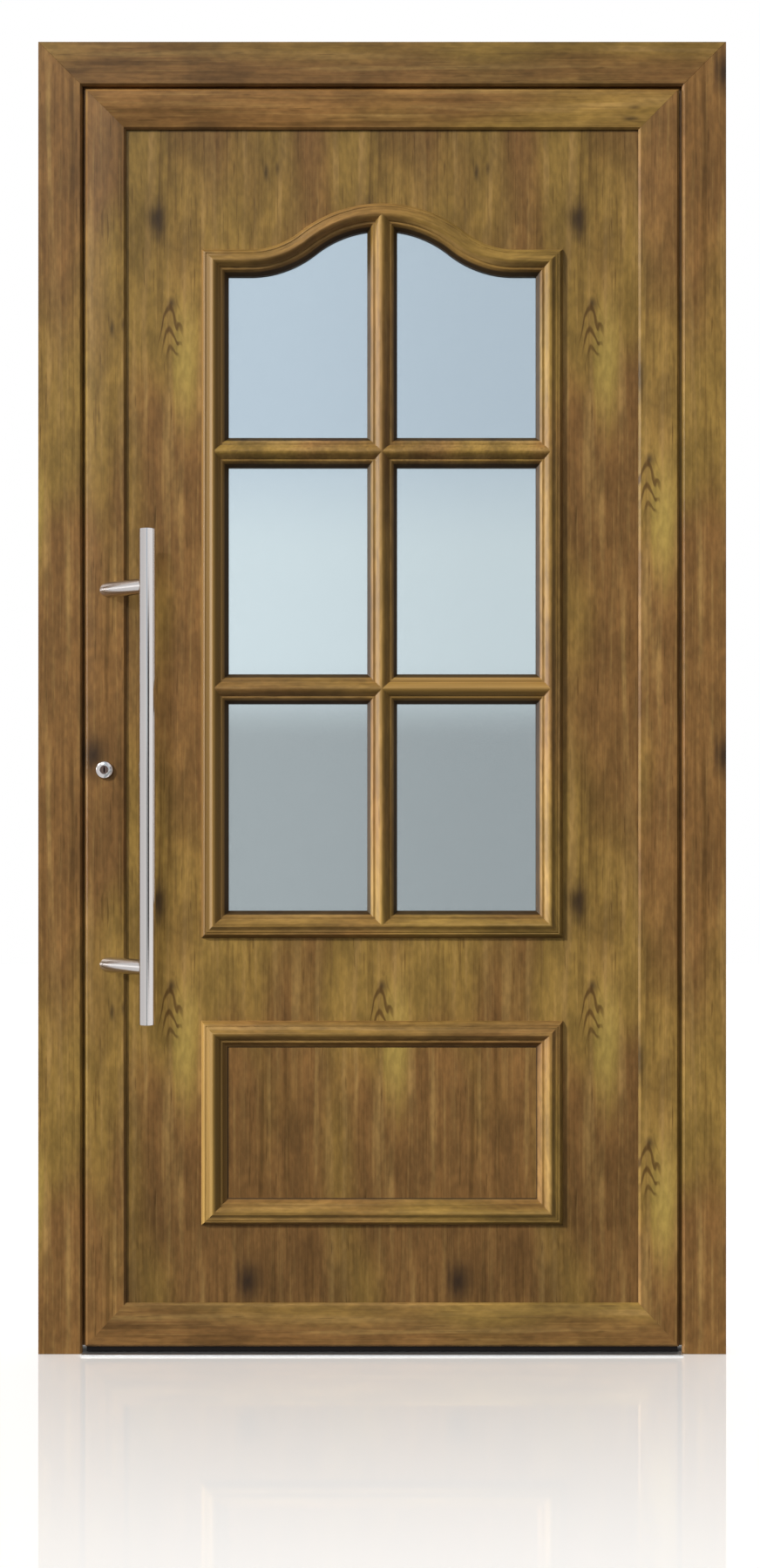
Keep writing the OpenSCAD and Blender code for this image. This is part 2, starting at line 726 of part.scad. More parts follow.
// Panel and its fixings
gasket_in = 2;
gasket_out = 13;
module panel_gasket() color(black)
  ring(sight_outline(gasket_out), sight_outline(gasket_in), lip_t, panel_gasket_t);
module door_panel() color(wood) difference() {
  slab(sight_outline(lip_w - panel_play), v_panel, panel_t);
  slab(window_outline(glass_cover + glass_play), v_panel - eps, panel_t + 2 * eps);
}
block_len = 100;
module setting_blocks() color(black) for (side = [-1, 1])
  translate([side * set_w / 4 - block_len / 2, depth(v_panel + 4), bottom_rebate])
    cube([block_len, panel_t - 8, panel_play]);
module lock_side_bead() color(wood) intersection() {
  upright(set_h) bead_section(u_rebate);
  through(stile_outline());
}
module hinge_side_bead() color(wood) other_side() intersection() {
  upright(set_h) bead_section(u_rebate);
  through(stile_outline());
}
module top_bead() color(wood) intersection() {
  along_top() bead_section(u_rebate);
  through(top_outline());
}
module bottom_bead() color(wood) intersection() {
  along_bottom(bottom_rebate) bead_section(0);
  through(bottom_outline());
}
module outer_window_moulding() color(dark_wood) window_ring();
module inner_window_moulding() color(dark_wood) inside_face() window_ring();
module outer_field_moulding() color(dark_wood) field_ring();
module inner_field_moulding() color(dark_wood) inside_face() field_ring();
module outer_mullion() color(dark_wood) mullion();
module inner_mullion() color(dark_wood) inside_face() mullion();
module outer_crossbars() color(dark_wood) crossbars();
module inner_crossbars() color(dark_wood) inside_face() crossbars();

// Sealed glass unit between the two mouldings
spacer_w = 7;
module outer_pane() color(glass) slab(window_outline(glass_cover), v_glass, pane_t);
module inner_pane() color(glass) slab(window_outline(glass_cover), v_glass_in - pane_t, pane_t);
module glass_spacer() color(steel) ring(
  window_outline(glass_cover), window_outline(glass_cover - spacer_w), v_glass + pane_t, unit_t - 2 * pane_t
);
module outer_glass_seal() color(black)
  ring(window_outline(glass_cover - 0.5), window_outline(0.5), v_glass - glass_seal_t, glass_seal_t);
module inner_glass_seal() color(black)
  ring(window_outline(glass_cover - 0.5), window_outline(0.5), v_glass_in, glass_seal_t);

// Lock
module faceplate_screw_set(play) for (z = plate_screw_heights)
  translate([left_x(plate_u), depth(lock_v), z]) rotate([0, 90, 0]) screw(play);
module faceplate_screws() color(steel) faceplate_screw_set(0);
module bolt_holes(u, length) {
  block(u, length, lock_v, bolt_t + 2 * lock_play, deadbolt_z, bolt_h + 2 * lock_play);
  block(u, length, lock_v, latch_t + 2 * lock_play, latch_z, latch_h + 2 * lock_play);
  for (z = pin_heights) inwards(u, lock_v, z, length, pin_bolt_d + 2 * lock_play);
}
module lock_faceplate() color(steel) difference() {
  block(plate_u, plate_t, lock_v, plate_w, (plate_low + plate_high) / 2, plate_high - plate_low);
  bolt_holes(plate_u - eps, plate_t + 2 * eps);
  faceplate_screw_set(screw_play);
}
module lock_case() color(steel) difference() {
  block(u_box, case_u - u_box, lock_v, case_t, (case_low + case_high) / 2, case_high - case_low);
  bolt_holes(u_box - eps, bolt_len - plate_t + 2 + eps);
  across(left_x(key_u), key_z, 0, set_d, cylinder_d + 2 * lock_play);
  across(left_x(key_u), lever_z, 0, set_d, spindle_hole);
}
module pin_bolt_cases() color(steel) for (z = pin_heights) difference() {
  block(u_box, case_u - u_box, lock_v, case_t, z, pin_case_h);
  bolt_holes(u_box - eps, bolt_len - plate_t + 2 + eps);
}
module cylinder_body() color(steel) difference() {
  front = rose_front - rose_t + lock_play;
  across(left_x(key_u), key_z, front, set_d - 2 * front, cylinder_d);
  across(left_x(key_u), key_z, -rose_t, set_d + 2 * rose_t, plug_d + 2 * plug_play);
}
module cylinder_plug() color(brass) {
  front = -rose_t + 1;
  difference() {
    across(left_x(key_u), key_z, front, set_d - 2 * front, plug_d);
    for (v = [front - eps, set_d - front - keyway_d])
      translate([left_x(key_u) - keyway_w / 2, depth(v), key_z - keyway_h / 2])
        cube([keyway_w, keyway_d + eps, keyway_h]);
  }
}
// A domed ring over the end of the cylinder, on the outside face
module rose() difference() {
  translate([left_x(key_u), depth(0), key_z]) rotate([90, 0, 0]) rotate_extrude() polygon([
    [plug_d / 2 + lock_play, rose_t], [rose_d / 2 - 3, rose_t], [rose_d / 2 - 1, rose_t - 1],
    [rose_d / 2, rose_t - 3], [rose_d / 2, 0], [plug_d / 2 + lock_play, 0]
  ]);
  across(left_x(key_u), key_z, rose_front - rose_t, rose_t + eps, cylinder_d + 2 * lock_play);
}
module outer_rose() color(steel) rose();
module inner_rose() color(steel) mirror([0, 1, 0]) rose();
module bolt(length, t, z, h) block(plate_u, length, lock_v, t, z, h);
module deadbolt() color(steel) bolt(bolt_len, bolt_t, deadbolt_z, bolt_h);
// The latch's nose is bevelled on the side that meets the strike when the leaf closes
module latch() color(steel) {
  x = left_x(plate_u);
  y = depth(lock_v);
  translate([0, 0, latch_z - latch_h / 2]) linear_extrude(latch_h) polygon([
    [x + bolt_len, y - latch_t / 2], [x + latch_throw, y - latch_t / 2], [x, y + latch_t / 2 - 3],
    [x, y + latch_t / 2], [x + bolt_len, y + latch_t / 2]
  ]);
}
module pin_bolts() color(steel) for (z = pin_heights) inwards(plate_u, lock_v, z, bolt_len, pin_bolt_d);

// Lever: a round bar bent once, on a square spindle
module lever() color(steel) {
  x = left_x(key_u);
  y = depth(set_d);
  translate([x, y, lever_z]) {
    rotate([-90, 0, 0]) translate([0, 0, lever_rose_t / 2])
      cylinder(d = journal_d, h = lever_rose_t / 2 + eps);
    rotate([-90, 0, 0]) translate([0, 0, lever_rose_t + lock_play])
      cylinder(d = grip_d, h = lever_reach - bend_r - lever_rose_t - lock_play);
    translate([bend_r, lever_reach - bend_r, 0]) rotate([0, 0, 90]) rotate_extrude(angle = 90)
      translate([bend_r, 0]) circle(d = grip_d);
    translate([bend_r, lever_reach, 0]) rotate([0, 90, 0])
      cylinder(d = grip_d, h = grip_len - bend_r - grip_edge);
    translate([grip_len - grip_edge, lever_reach, 0]) rotate([0, 90, 0])
      cylinder(d1 = grip_d, d2 = grip_d - 2 * grip_edge, h = grip_edge);
    translate([-spindle_w / 2, lock_v - set_d, -spindle_w / 2])
      cube([spindle_w, set_d - lock_v + lever_rose_t, spindle_w]);
  }
}
module lever_rose() color(steel) translate([left_x(key_u), depth(set_d), lever_z]) rotate([-90, 0, 0]) {
  reach = (lever_rose_h - lever_rose_w) / 2;
  difference() {
    union() {
      for (end = [-1, 1]) translate([0, end * reach, 0]) cylinder(d = lever_rose_w, h = lever_rose_t);
      translate([-lever_rose_w / 2, -reach, 0]) cube([lever_rose_w, 2 * reach, lever_rose_t]);
    }
    translate([0, 0, -eps]) cylinder(d = journal_d + 2 * plug_play, h = lever_rose_t + 2 * eps);
  }
}

// Pull bar on two supports that slant away from the stile at 45 degrees
pull_x = left_x(u_leaf + support_set) + pull_reach;
pull_y = depth(0) - pull_reach;
pull_edge = 1;
module pull_bar() color(steel) translate([pull_x, pull_y, pull_z - pull_len / 2]) rotate_extrude() polygon([
  [0, 0], [pull_d / 2 - pull_edge, 0], [pull_d / 2, pull_edge], [pull_d / 2, pull_len - pull_edge],
  [pull_d / 2 - pull_edge, pull_len], [0, pull_len]
]);
module pull_supports() color(steel) for (end = [-1, 1]) difference() {
  translate([pull_x, pull_y, pull_z + end * pull_spacing / 2]) rotate([0, -90, -45])
    cylinder(d = support_d, h = 2 * pull_reach);
  translate([left_x(0), depth(0), pull_z - pull_len]) cube([set_w, set_d * 2, 2 * pull_len]);
  translate([pull_x, pull_y, pull_z - pull_len]) cylinder(d = pull_d, h = 2 * pull_len);
}

lock_jamb();
hinge_jamb();
frame_head();
frame_corner_cleats();
frame_gasket();
threshold();
lock_strike();
upper_pin_strike();
lower_pin_strike();
strike_screws();
upper_hinge_frame_leaf();
middle_hinge_frame_leaf();
lower_hinge_frame_leaf();
hinge_pins();
hinge_frame_screws();
lock_stile();
hinge_stile();
top_rail();
bottom_rail();
sash_corner_cleats();
door_sweep();
panel_gasket();
door_panel();
setting_blocks();
lock_side_bead();
hinge_side_bead();
top_bead();
bottom_bead();
outer_window_moulding();
inner_window_moulding();
outer_field_moulding();
inner_field_moulding();
outer_mullion();
outer_crossbars();
inner_mullion();
inner_crossbars();
outer_pane();
glass_spacer();
inner_pane();
outer_glass_seal();
inner_glass_seal();
upper_hinge_sash_leaf();
middle_hinge_sash_leaf();
lower_hinge_sash_leaf();
hinge_sash_screws();
lock_faceplate();
lock_case();
pin_bolt_cases();
faceplate_screws();
cylinder_body();
outer_rose();
inner_rose();
pull_bar();
pull_supports();
lever_rose();
latch();
deadbolt();
pin_bolts();
cylinder_plug();
lever();
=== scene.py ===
import json

import bmesh
import bpy
import numpy as np
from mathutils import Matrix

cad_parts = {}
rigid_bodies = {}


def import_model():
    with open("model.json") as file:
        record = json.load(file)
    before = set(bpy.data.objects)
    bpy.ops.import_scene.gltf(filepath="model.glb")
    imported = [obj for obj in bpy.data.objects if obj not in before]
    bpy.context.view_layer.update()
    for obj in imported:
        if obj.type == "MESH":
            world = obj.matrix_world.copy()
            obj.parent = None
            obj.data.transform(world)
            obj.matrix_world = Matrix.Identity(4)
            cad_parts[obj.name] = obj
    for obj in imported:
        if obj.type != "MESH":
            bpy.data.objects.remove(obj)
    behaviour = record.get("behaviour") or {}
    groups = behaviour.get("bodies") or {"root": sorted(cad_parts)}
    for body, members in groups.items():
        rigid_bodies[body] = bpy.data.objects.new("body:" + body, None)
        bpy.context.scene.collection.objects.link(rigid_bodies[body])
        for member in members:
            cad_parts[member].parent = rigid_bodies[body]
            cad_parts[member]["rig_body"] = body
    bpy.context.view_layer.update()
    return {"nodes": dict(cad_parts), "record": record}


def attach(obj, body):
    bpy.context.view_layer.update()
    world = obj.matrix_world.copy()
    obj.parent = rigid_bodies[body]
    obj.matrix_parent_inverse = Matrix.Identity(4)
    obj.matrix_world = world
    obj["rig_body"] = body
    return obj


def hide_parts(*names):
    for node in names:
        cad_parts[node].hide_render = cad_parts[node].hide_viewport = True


# What a user would change, one dictionary per piece; colours are linear
foil = {
    "mid": (0.200, 0.099, 0.030),
    "light": (0.335, 0.200, 0.064),
    "olive": (0.252, 0.152, 0.036),
    "dark": (0.088, 0.042, 0.010),
    "knot": (0.036, 0.020, 0.010),
    "glow": (0.36, 0.255, 0.060),
    "printWidth": 0.337,  # the print repeats after this
    "printLength": 1.094,
    "roughness": 0.42,
    "shine": 0.14,
    "bump": 0.25,
    "bumpDepth": 0.0003,
    "tickDepth": -0.5,  # depth of a tick beside a fibre's height
}
grain = {  # noise of the print: waves per metre across and along, detail, place in the noise
    "patches": (9.0, 2.2, 1.0, 3.1),
    "streaks": (75.0, 3.0, 3.0, 17.0),
    "fibres": (420.0, 9.0, 2.0, 41.0),
    "ticks": (230.0, 16.0, 1.0, 71.0),
    "bend": (38.0, 13.0, 2.0, 97.0),
    "cloud": (30.0, 11.0, 3.0, 53.0),
    "speck": (170.0, 60.0, 2.0, 59.0),
}
tints = (  # what a noise lays on, in this order: noise, colour, from, to, share at both
    ("patches", "olive", 0.42, 0.62, 0.0, 1.0),
    ("streaks", "light", 0.50, 0.72, 0.0, 0.75),
    ("streaks", "dark", 0.28, 0.48, 0.6, 0.0),
    ("fibres", "light", 0.52, 0.75, 0.0, 0.35),
    ("fibres", "dark", 0.25, 0.45, 0.4, 0.0),
    ("ticks", "dark", 0.66, 0.74, 0.0, 0.5),
)
mottle = {"cloud": (0.30, 0.70, 0.76, 1.20), "speck": (0.30, 0.70, 0.86, 1.12)}  # from, to, share at both
spots = (  # place across and along, half sizes, where its edge sets in, strength, colour
    ((0.024, -0.11), (0.034, 0.16), 0.1, 0.75, "glow"),
    ((-0.026, 0.122), (0.026, 0.050), 0.0, 0.9, "knot"),
    ((0.1225, -0.484), (0.034, 0.052), 0.0, 0.95, "knot"),
    ((0.0, -0.012), (0.011, 0.016), 0.0, 0.8, "knot"),
    ((0.152, 0.197), (0.007, 0.022), 0.0, 0.7, "knot"),
    ((0.170, 0.203), (0.006, 0.018), 0.0, 0.6, "knot"),
)
flame = {
    "depth": 0.060,  # an arch falls this far
    "half": 0.021,  # at this distance from its middle
    "spacing": 0.034,
    "sway": 0.026,
    "ripple": 9.0,
    "line": (0.1, 1.0),
    "place": (0.0, -0.045),
    "size": (0.030, 0.075),
    "soft": 0.4,
    "tip": 0.02,
    "strength": 0.85,
}
roundEdge = 0.8  # share of the depth in the way across, so that the print runs on round an edge
lay = {  # weights of X, Y, Z across and along the grain, shift of the print, tone by height
    "upright": {"across": (1.0, roundEdge, 0.0), "along": (0.0, 0.0, 1.0), "shift": (0.06, 0.35)},
    "level": {
        "across": (0.0, roundEdge, 1.0),
        "along": (1.0, 0.0, 0.0),
        "shift": (0.11, 0.2),
        "tone": {"foot": 0.86, "middle": 1.28, "top": 0.65, "topFrom": 2.025, "topTo": 2.035},
    },
    "panel": {
        "across": (1.0, roundEdge, 0.0),
        "along": (0.0, 0.0, 1.0),
        "shift": (-0.363, 1.695),
        "tone": {"foot": 0.76, "middle": 1.0, "top": 0.84, "topFrom": 1.70, "topTo": 1.95},
    },
    "moulding": {"across": (1.0, 0.0, 0.0), "along": (0.0, 1.0, 0.0), "shift": (0.1, 0.4)},
}
footTone = (0.15, 0.62)  # heights between which the foot's tone changes to the middle's
moulding = {"width": 0.043, "crest": 0.0234, "height": 0.017, "glassBack": 0.006, "dip": -0.17}
# Painted shade: the moulding and bar foil is darkened along the glass, where their walls lie in shade; on the
# field ring only a thin inner strip is darkened
paintedShadeLine = {"from": 0.0045, "to": 0.0072, "share": 0.18, "fieldShift": 0.004}  # dark line along the glass
window = {"width": 0.493, "bottom": 0.709, "shoulder": 1.726, "span": 0.424, "rise": 0.074}
field = {"width": 0.493, "bottom": 0.249, "top": 0.490}
bars = {
    "half": 0.024,
    "height": 0.0165,
    "glassBack": 0.0079,
    "rows": (1.0645, 1.4435),
    "cope": 0.0005,  # from the moulding's crest to a bar's end
    "crownGap": 0.0012,
    "middleGap": 0.0002,
}
panel = {"outside": -0.0315, "middle": -0.0115}
pull = {
    "x": -0.369,
    "y": -0.1025,
    "z": 0.923,
    "length": 0.780,
    "radius": 0.013,
    "edge": 0.0012,
    "tip": 0.0002,  # radius at which an end counts as closed
}
support = {"spacing": 0.600, "radius": 0.0125, "face": -0.0375}
glass = {"color": (0.86, 0.88, 0.89), "mirror": 0.8, "roughness": 0.03}
plain = {  # finish of a material slot: name, colour, roughness, metal share, shine
    "gasket_black": ("blackRubber", (0.007, 0.006, 0.006), 0.8, 0.0, 0.05),
    "block_plastic": ("darkPlastic", (0.03, 0.03, 0.03), 0.6, 0.0, 0.5),
    "sill_aluminium": ("anodised", (0.72, 0.72, 0.71), 0.35, 1.0, 0.5),
    "satin_steel": ("satinSteel", (0.60, 0.57, 0.56), 0.13, 1.0, 0.5),
    "lock_steel": ("lockSteel", (0.55, 0.55, 0.55), 0.32, 1.0, 0.5),
    "hinge_steel": ("hingeCoat", (0.075, 0.038, 0.014), 0.4, 0.0, 0.5),
    "cylinder_brass": ("darkNickel", (0.10, 0.07, 0.06), 0.45, 1.0, 0.5),
}
ground = {
    "half": 9.0,
    "level": -0.0006,
    "color": (0.9, 0.9, 0.9),
    "glow": (1.0, 0.975, 0.945),
    "glowStrength": 0.74,
    "roughness": 0.6,
    "mirrorRoughness": 0.003,
    "mirror": (-1.6, 0.0, 0.03, 0.36),  # from, to, share at both
}
sky = {  # what the panes mirror; heights and ways are parts of a unit direction
    "low": (0.415, 0.465, 0.48),
    "middle": (0.78, 0.90, 0.94),
    "high": (0.60, 0.72, 0.82),
    "lowEnds": (0.03, 0.065),
    "highEnds": (0.11, 0.17),
    "sides": (0.10, 0.14),
    "fade": (-0.07, 0.07, 1.07, 0.93),  # a little darker to the right
}
room = {
    "ambient": (0.015, 0.25),  # away from the light and towards it
    "lightFrom": (-0.5, -0.35, 0.79),
    "behind": (0.0, 0.6, 0.0, 0.6),  # from, to, light at both
    "stripAt": 0.37,  # dark strip that the steel mirrors
    "strip": (0.13, 0.24, 0.97, 0.0),
    "stripHeight": (0.18, 0.26, 1.0, 0.0),  # near the horizon alone, so that the floor mirrors none
    "sides": (-0.9, 0.6, 0.86, 1.13),
}
suns = {  # name: strength, way the light goes, soft angle
    "key": (3.25, (1.3, 1.0, -1.05), 0.10),
    "rim": (2.7, (3.0, 0.3, -0.30), 0.06),
    "front": (0.70, (0.28, 1.0, -0.50), 0.08),
}
view = {
    "distance": 3.6,
    "height": 0.872,
    "x": -0.002,
    "face": -0.0375,
    "shift": (-0.0006, 0.0161),
    "film": 36.0,
    "tall": 2.5087,  # of the picture on the frame's face: 1800 pixels of 1.3937 mm
}
softEdge = {"profile": 0.0006, "panel": 0.0004, "metal": 0.0004}
sharpAngle = 0.6

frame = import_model()
nodes = frame["nodes"]
slotOf = {part["node"]: part["material_slot"] for part in frame["record"]["subparts"]}
print("frame loaded")


# Shader building
def node(tree, kind, inputs=None, **settings):
    made = tree.nodes.new(kind)
    for key, value in settings.items():
        setattr(made, key, value)
    for key, value in (inputs or {}).items():
        feed(tree, made.inputs[key], value)
    return made


def feed(tree, socket, value):
    if isinstance(value, bpy.types.NodeSocket):
        tree.links.new(value, socket)
    else:
        socket.default_value = value


def calc(tree, operation, *values):
    made = node(tree, "ShaderNodeMath", operation=operation)
    for socket, value in zip(made.inputs, values):
        feed(tree, socket, value)
    return made.outputs[0]


def dot(tree, place, weights):
    made = node(tree, "ShaderNodeVectorMath", {0: place, 1: weights}, operation="DOT_PRODUCT")
    return made.outputs["Value"]


def ramp(tree, value, low, high, bottom=0.0, top=1.0):
    made = node(tree, "ShaderNodeMapRange", interpolation_type="SMOOTHSTEP")
    for socket, item in zip(made.inputs, (value, low, high, bottom, top)):
        feed(tree, socket, item)
    return made.outputs[0]


def blend(tree, factor, a, b, mode="MIX"):
    made = node(tree, "ShaderNodeMix", data_type="RGBA", blend_type=mode)
    for place, value in ((0, factor), (6, a), (7, b)):
        if not isinstance(value, bpy.types.NodeSocket) and place:
            value = (*value, 1.0)
        feed(tree, made.inputs[place], value)
    return made.outputs[2]


def gray(tree, value):
    return node(tree, "ShaderNodeCombineColor", {0: value, 1: value, 2: value}).outputs[0]


def times(tree, color, value):
    return blend(tree, 1.0, color, gray(tree, value), "MULTIPLY")


def group(name, ins, outs):
    tree = bpy.data.node_groups.new(name, "ShaderNodeTree")
    for label, kind in ins:
        tree.interface.new_socket(label, in_out="INPUT", socket_type=kind)
    for label, kind in outs:
        tree.interface.new_socket(label, in_out="OUTPUT", socket_type=kind)
    return tree, node(tree, "NodeGroupInput"), node(tree, "NodeGroupOutput")


# The printed foil: noise on a torus, so the print repeats without a seam across and along the grain
def foilGroup():
    tree, start, end = group(
        "foilPrint",
        [("Grain", "NodeSocketVector")],
        [("Color", "NodeSocketColor"), ("Height", "NodeSocketFloat")],
    )
    wide, long = foil["printWidth"], foil["printLength"]
    split = node(tree, "ShaderNodeSeparateXYZ", {0: start.outputs[0]})
    across, along = split.outputs[0], split.outputs[1]
    turnA = calc(tree, "MULTIPLY", across, 2 * np.pi / wide)
    turnB = calc(tree, "MULTIPLY", along, 2 * np.pi / long)
    cosA, sinA = calc(tree, "COSINE", turnA), calc(tree, "SINE", turnA)
    cosB, sinB = calc(tree, "COSINE", turnB), calc(tree, "SINE", turnB)

    def torusNoise(perAcross, perAlong, detail, shift):
        a = perAcross * wide / (2 * np.pi)
        b = perAlong * long / (2 * np.pi)
        x = calc(tree, "MULTIPLY_ADD", cosA, a, shift)
        y = calc(tree, "MULTIPLY", sinA, a)
        z = calc(tree, "MULTIPLY", cosB, b)
        w = calc(tree, "MULTIPLY", sinB, b)
        spot = node(tree, "ShaderNodeCombineXYZ", {0: x, 1: y, 2: z}).outputs[0]
        inputs = {"Vector": spot, "W": w, "Scale": 1.0, "Detail": detail}
        return node(tree, "ShaderNodeTexNoise", inputs, noise_dimensions="4D").outputs[0]

    def offset(at):
        a = calc(tree, "WRAP", calc(tree, "SUBTRACT", across, at[0]), wide / 2, -wide / 2)
        b = calc(tree, "WRAP", calc(tree, "SUBTRACT", along, at[1]), long / 2, -long / 2)
        return a, b

    # An oval with a frayed edge: 1 inside, 0 outside
    def blot(at, size, soft):
        a, b = offset(at)
        a = calc(tree, "DIVIDE", a, size[0])
        b = calc(tree, "DIVIDE", b, size[1])
        square = calc(tree, "ADD", calc(tree, "MULTIPLY", a, a), calc(tree, "MULTIPLY", b, b))
        fray = calc(tree, "SUBTRACT", noises["streaks"], 0.5)
        return ramp(tree, calc(tree, "ADD", calc(tree, "SQRT", square), fray), soft, 1.0, 1.0, 0.0)

    noises = {name: torusNoise(*values) for name, values in grain.items()}
    color = foil["mid"]
    for name, tint, low, high, bottom, top in tints:
        color = blend(tree, ramp(tree, noises[name], low, high, bottom, top), color, foil[tint])
    for at, size, soft, strength, tint in spots:
        color = blend(tree, calc(tree, "MULTIPLY", blot(at, size, soft), strength), color, foil[tint])

    # Nested arches of the flame: along + depth * (across / half)^2 is constant on each line
    a, b = offset((0.0, 0.0))
    sway = calc(tree, "MULTIPLY_ADD", noises["bend"], flame["sway"], -flame["sway"] / 2)
    a = calc(tree, "ADD", a, sway)
    arch = calc(tree, "MULTIPLY_ADD", calc(tree, "MULTIPLY", a, a), flame["depth"] / flame["half"] ** 2, b)
    ripple = calc(tree, "MULTIPLY", noises["bend"], flame["ripple"])
    wave = calc(tree, "MULTIPLY_ADD", arch, 2 * np.pi / flame["spacing"], ripple)
    lines = ramp(tree, calc(tree, "SINE", wave), *flame["line"])
    below = ramp(tree, arch, 0.0, flame["tip"], 1.0, 0.0)
    where = calc(tree, "MULTIPLY", blot(flame["place"], flame["size"], flame["soft"]), below)
    share = calc(tree, "MULTIPLY", calc(tree, "MULTIPLY", lines, where), flame["strength"])
    color = blend(tree, share, color, foil["dark"])

    # Mottling, coarse and fine
    cloud = ramp(tree, noises["cloud"], *mottle["cloud"])
    speck = ramp(tree, noises["speck"], *mottle["speck"])
    color = times(tree, color, calc(tree, "MULTIPLY", cloud, speck))
    tree.links.new(color, end.inputs[0])
    height = calc(tree, "MULTIPLY_ADD", noises["ticks"], foil["tickDepth"], noises["fibres"])
    tree.links.new(height, end.inputs[1])
    return tree


foilPrint = foilGroup()


def material(name):
    made = bpy.data.materials.new(name)
    made.use_nodes = True
    tree = made.node_tree
    return made, tree, tree.nodes["Principled BSDF"]


# The foil on one kind of piece; mouldings take their own map, which follows the sweep, and a painted shade
# along the glass
def foilMaterial(name, across, along, shift, tone=None, fromMap=False):
    made, tree, shader = material(name)
    if fromMap:
        place = node(tree, "ShaderNodeUVMap", uv_map="grain").outputs[0]
    else:
        place = node(tree, "ShaderNodeTexCoord").outputs["Object"]
    x = calc(tree, "SUBTRACT", dot(tree, place, across), shift[0])
    y = calc(tree, "SUBTRACT", dot(tree, place, along), shift[1])
    printed = node(tree, "ShaderNodeGroup", node_tree=foilPrint)
    tree.links.new(node(tree, "ShaderNodeCombineXYZ", {0: x, 1: y}).outputs[0], printed.inputs[0])
    color = printed.outputs[0]
    if fromMap:
        # Painted shade: the foil turns darker near the glass by the edge distance, where the recess lies in
        # shade
        edge = node(tree, "ShaderNodeAttribute", attribute_name="edge").outputs["Fac"]
        color = times(tree, color, ramp(tree, edge, paintedShadeLine["from"], paintedShadeLine["to"], paintedShadeLine["share"], 1.0))
    if tone:
        height = node(tree, "ShaderNodeSeparateXYZ", {0: place}).outputs[2]
        lower = ramp(tree, height, *footTone, tone["foot"], tone["middle"])
        upper = ramp(tree, height, tone["topFrom"], tone["topTo"], 1.0, tone["top"])
        color = times(tree, color, calc(tree, "MULTIPLY", lower, upper))
    tree.links.new(color, shader.inputs["Base Color"])
    relief = {"Strength": foil["bump"], "Distance": foil["bumpDepth"], "Height": printed.outputs[1]}
    tree.links.new(node(tree, "ShaderNodeBump", relief).outputs[0], shader.inputs["Normal"])
    shader.inputs["Roughness"].default_value = foil["roughness"]
    shader.inputs["Specular IOR Level"].default_value = foil["shine"]
    return made


def plainMaterial(name, color, roughness, metallic, shine):
    made, tree, shader = material(name)
    shader.inputs["Base Color"].default_value = (*color, 1.0)
    shader.inputs["Roughness"].default_value = roughness
    shader.inputs["Metallic"].default_value = metallic
    shader.inputs["Specular IOR Level"].default_value = shine
    return made


# Reflecting panes: they mirror the pale sky in front of the door
def glassMaterial():
    made, tree, shader = material("windowGlass")
    shader.inputs["Base Color"].default_value = (*glass["color"], 1.0)
    shader.inputs["Metallic"].default_value = glass["mirror"]
    shader.inputs["Roughness"].default_value = glass["roughness"]
    shader.inputs["Transmission Weight"].default_value = 1.0
    return made


level = foilMaterial("foilLevel", **lay["level"])
finishes = {
    "profile_foil": foilMaterial("foilUpright", **lay["upright"]),
    "panel_wood": foilMaterial("foilPanel", **lay["panel"]),
    "moulding_wood": foilMaterial("foilMoulding", **lay["moulding"], fromMap=True),
    "window_glass": glassMaterial(),
}
for slot, values in plain.items():
    finishes[slot] = plainMaterial(*values)
lying = ("frame_head", "top_rail", "bottom_rail", "top_bead", "bottom_bead")
for name, piece in nodes.items():
    piece.data.materials.clear()
    piece.data.materials.append(level if name in lying else finishes[slotOf[name]])
print("materials made")


# Pieces
def stand(name, mesh, replaced, cad):
    piece = bpy.data.objects.new(name, mesh)
    bpy.context.scene.collection.objects.link(piece)
    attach(piece, nodes[cad]["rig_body"])
    for hidden in replaced:
        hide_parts(hidden)
    return piece


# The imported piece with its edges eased
def softCopy(name, width):
    mesh = nodes[name].data.copy()
    work = bmesh.new()
    work.from_mesh(mesh)
    bmesh.ops.remove_doubles(work, verts=work.verts, dist=1e-5)
    bmesh.ops.dissolve_limit(work, angle_limit=0.01, verts=work.verts, edges=work.edges)
    work.to_mesh(mesh)
    work.free()
    mesh.shade_smooth()
    mesh.set_sharp_from_angle(angle=sharpAngle)
    edge = stand("soft_" + name, mesh, [name], name).modifiers.new("edge", "BEVEL")
    edge.width = width
    edge.segments = 2
    edge.limit_method = "ANGLE"
    edge.angle_limit = sharpAngle
    edge.harden_normals = True


# A surface through a grid of points, rows along the path and columns round the section
def surface(name, points, closedRows, closedColumns, grainMap, replaced, cad, edge=None):
    rows, columns = points.shape[:2]
    index = np.arange(rows * columns).reshape(rows, columns)
    here = index if closedRows else index[:-1]
    below = np.roll(index, -1, 0) if closedRows else index[1:]
    if closedColumns:
        corners = [here, below, np.roll(below, -1, 1), np.roll(here, -1, 1)]
    else:
        corners = [here[:, :-1], below[:, :-1], below[:, 1:], here[:, 1:]]
    faces = np.stack(corners, -1).reshape(-1, 4)
    mesh = bpy.data.meshes.new(name)
    mesh.from_pydata(points.reshape(-1, 3), [], faces)
    layer = mesh.uv_layers.new(name="grain")
    if grainMap is not None:
        layer.data.foreach_set("uv", grainMap(faces, rows, columns).astype(np.float32).ravel())
    # Distance from the glass edge for each column, which the moulding foil turns into painted shade
    if edge is not None:
        values = np.tile(edge, rows).astype(np.float32)
        mesh.attributes.new("edge", "FLOAT", "POINT").data.foreach_set("value", values)
    mesh.shade_smooth()
    mesh.set_sharp_from_angle(angle=sharpAngle)
    mesh.materials.append(finishes[slotOf[cad]])
    return stand(name, mesh, replaced, cad)


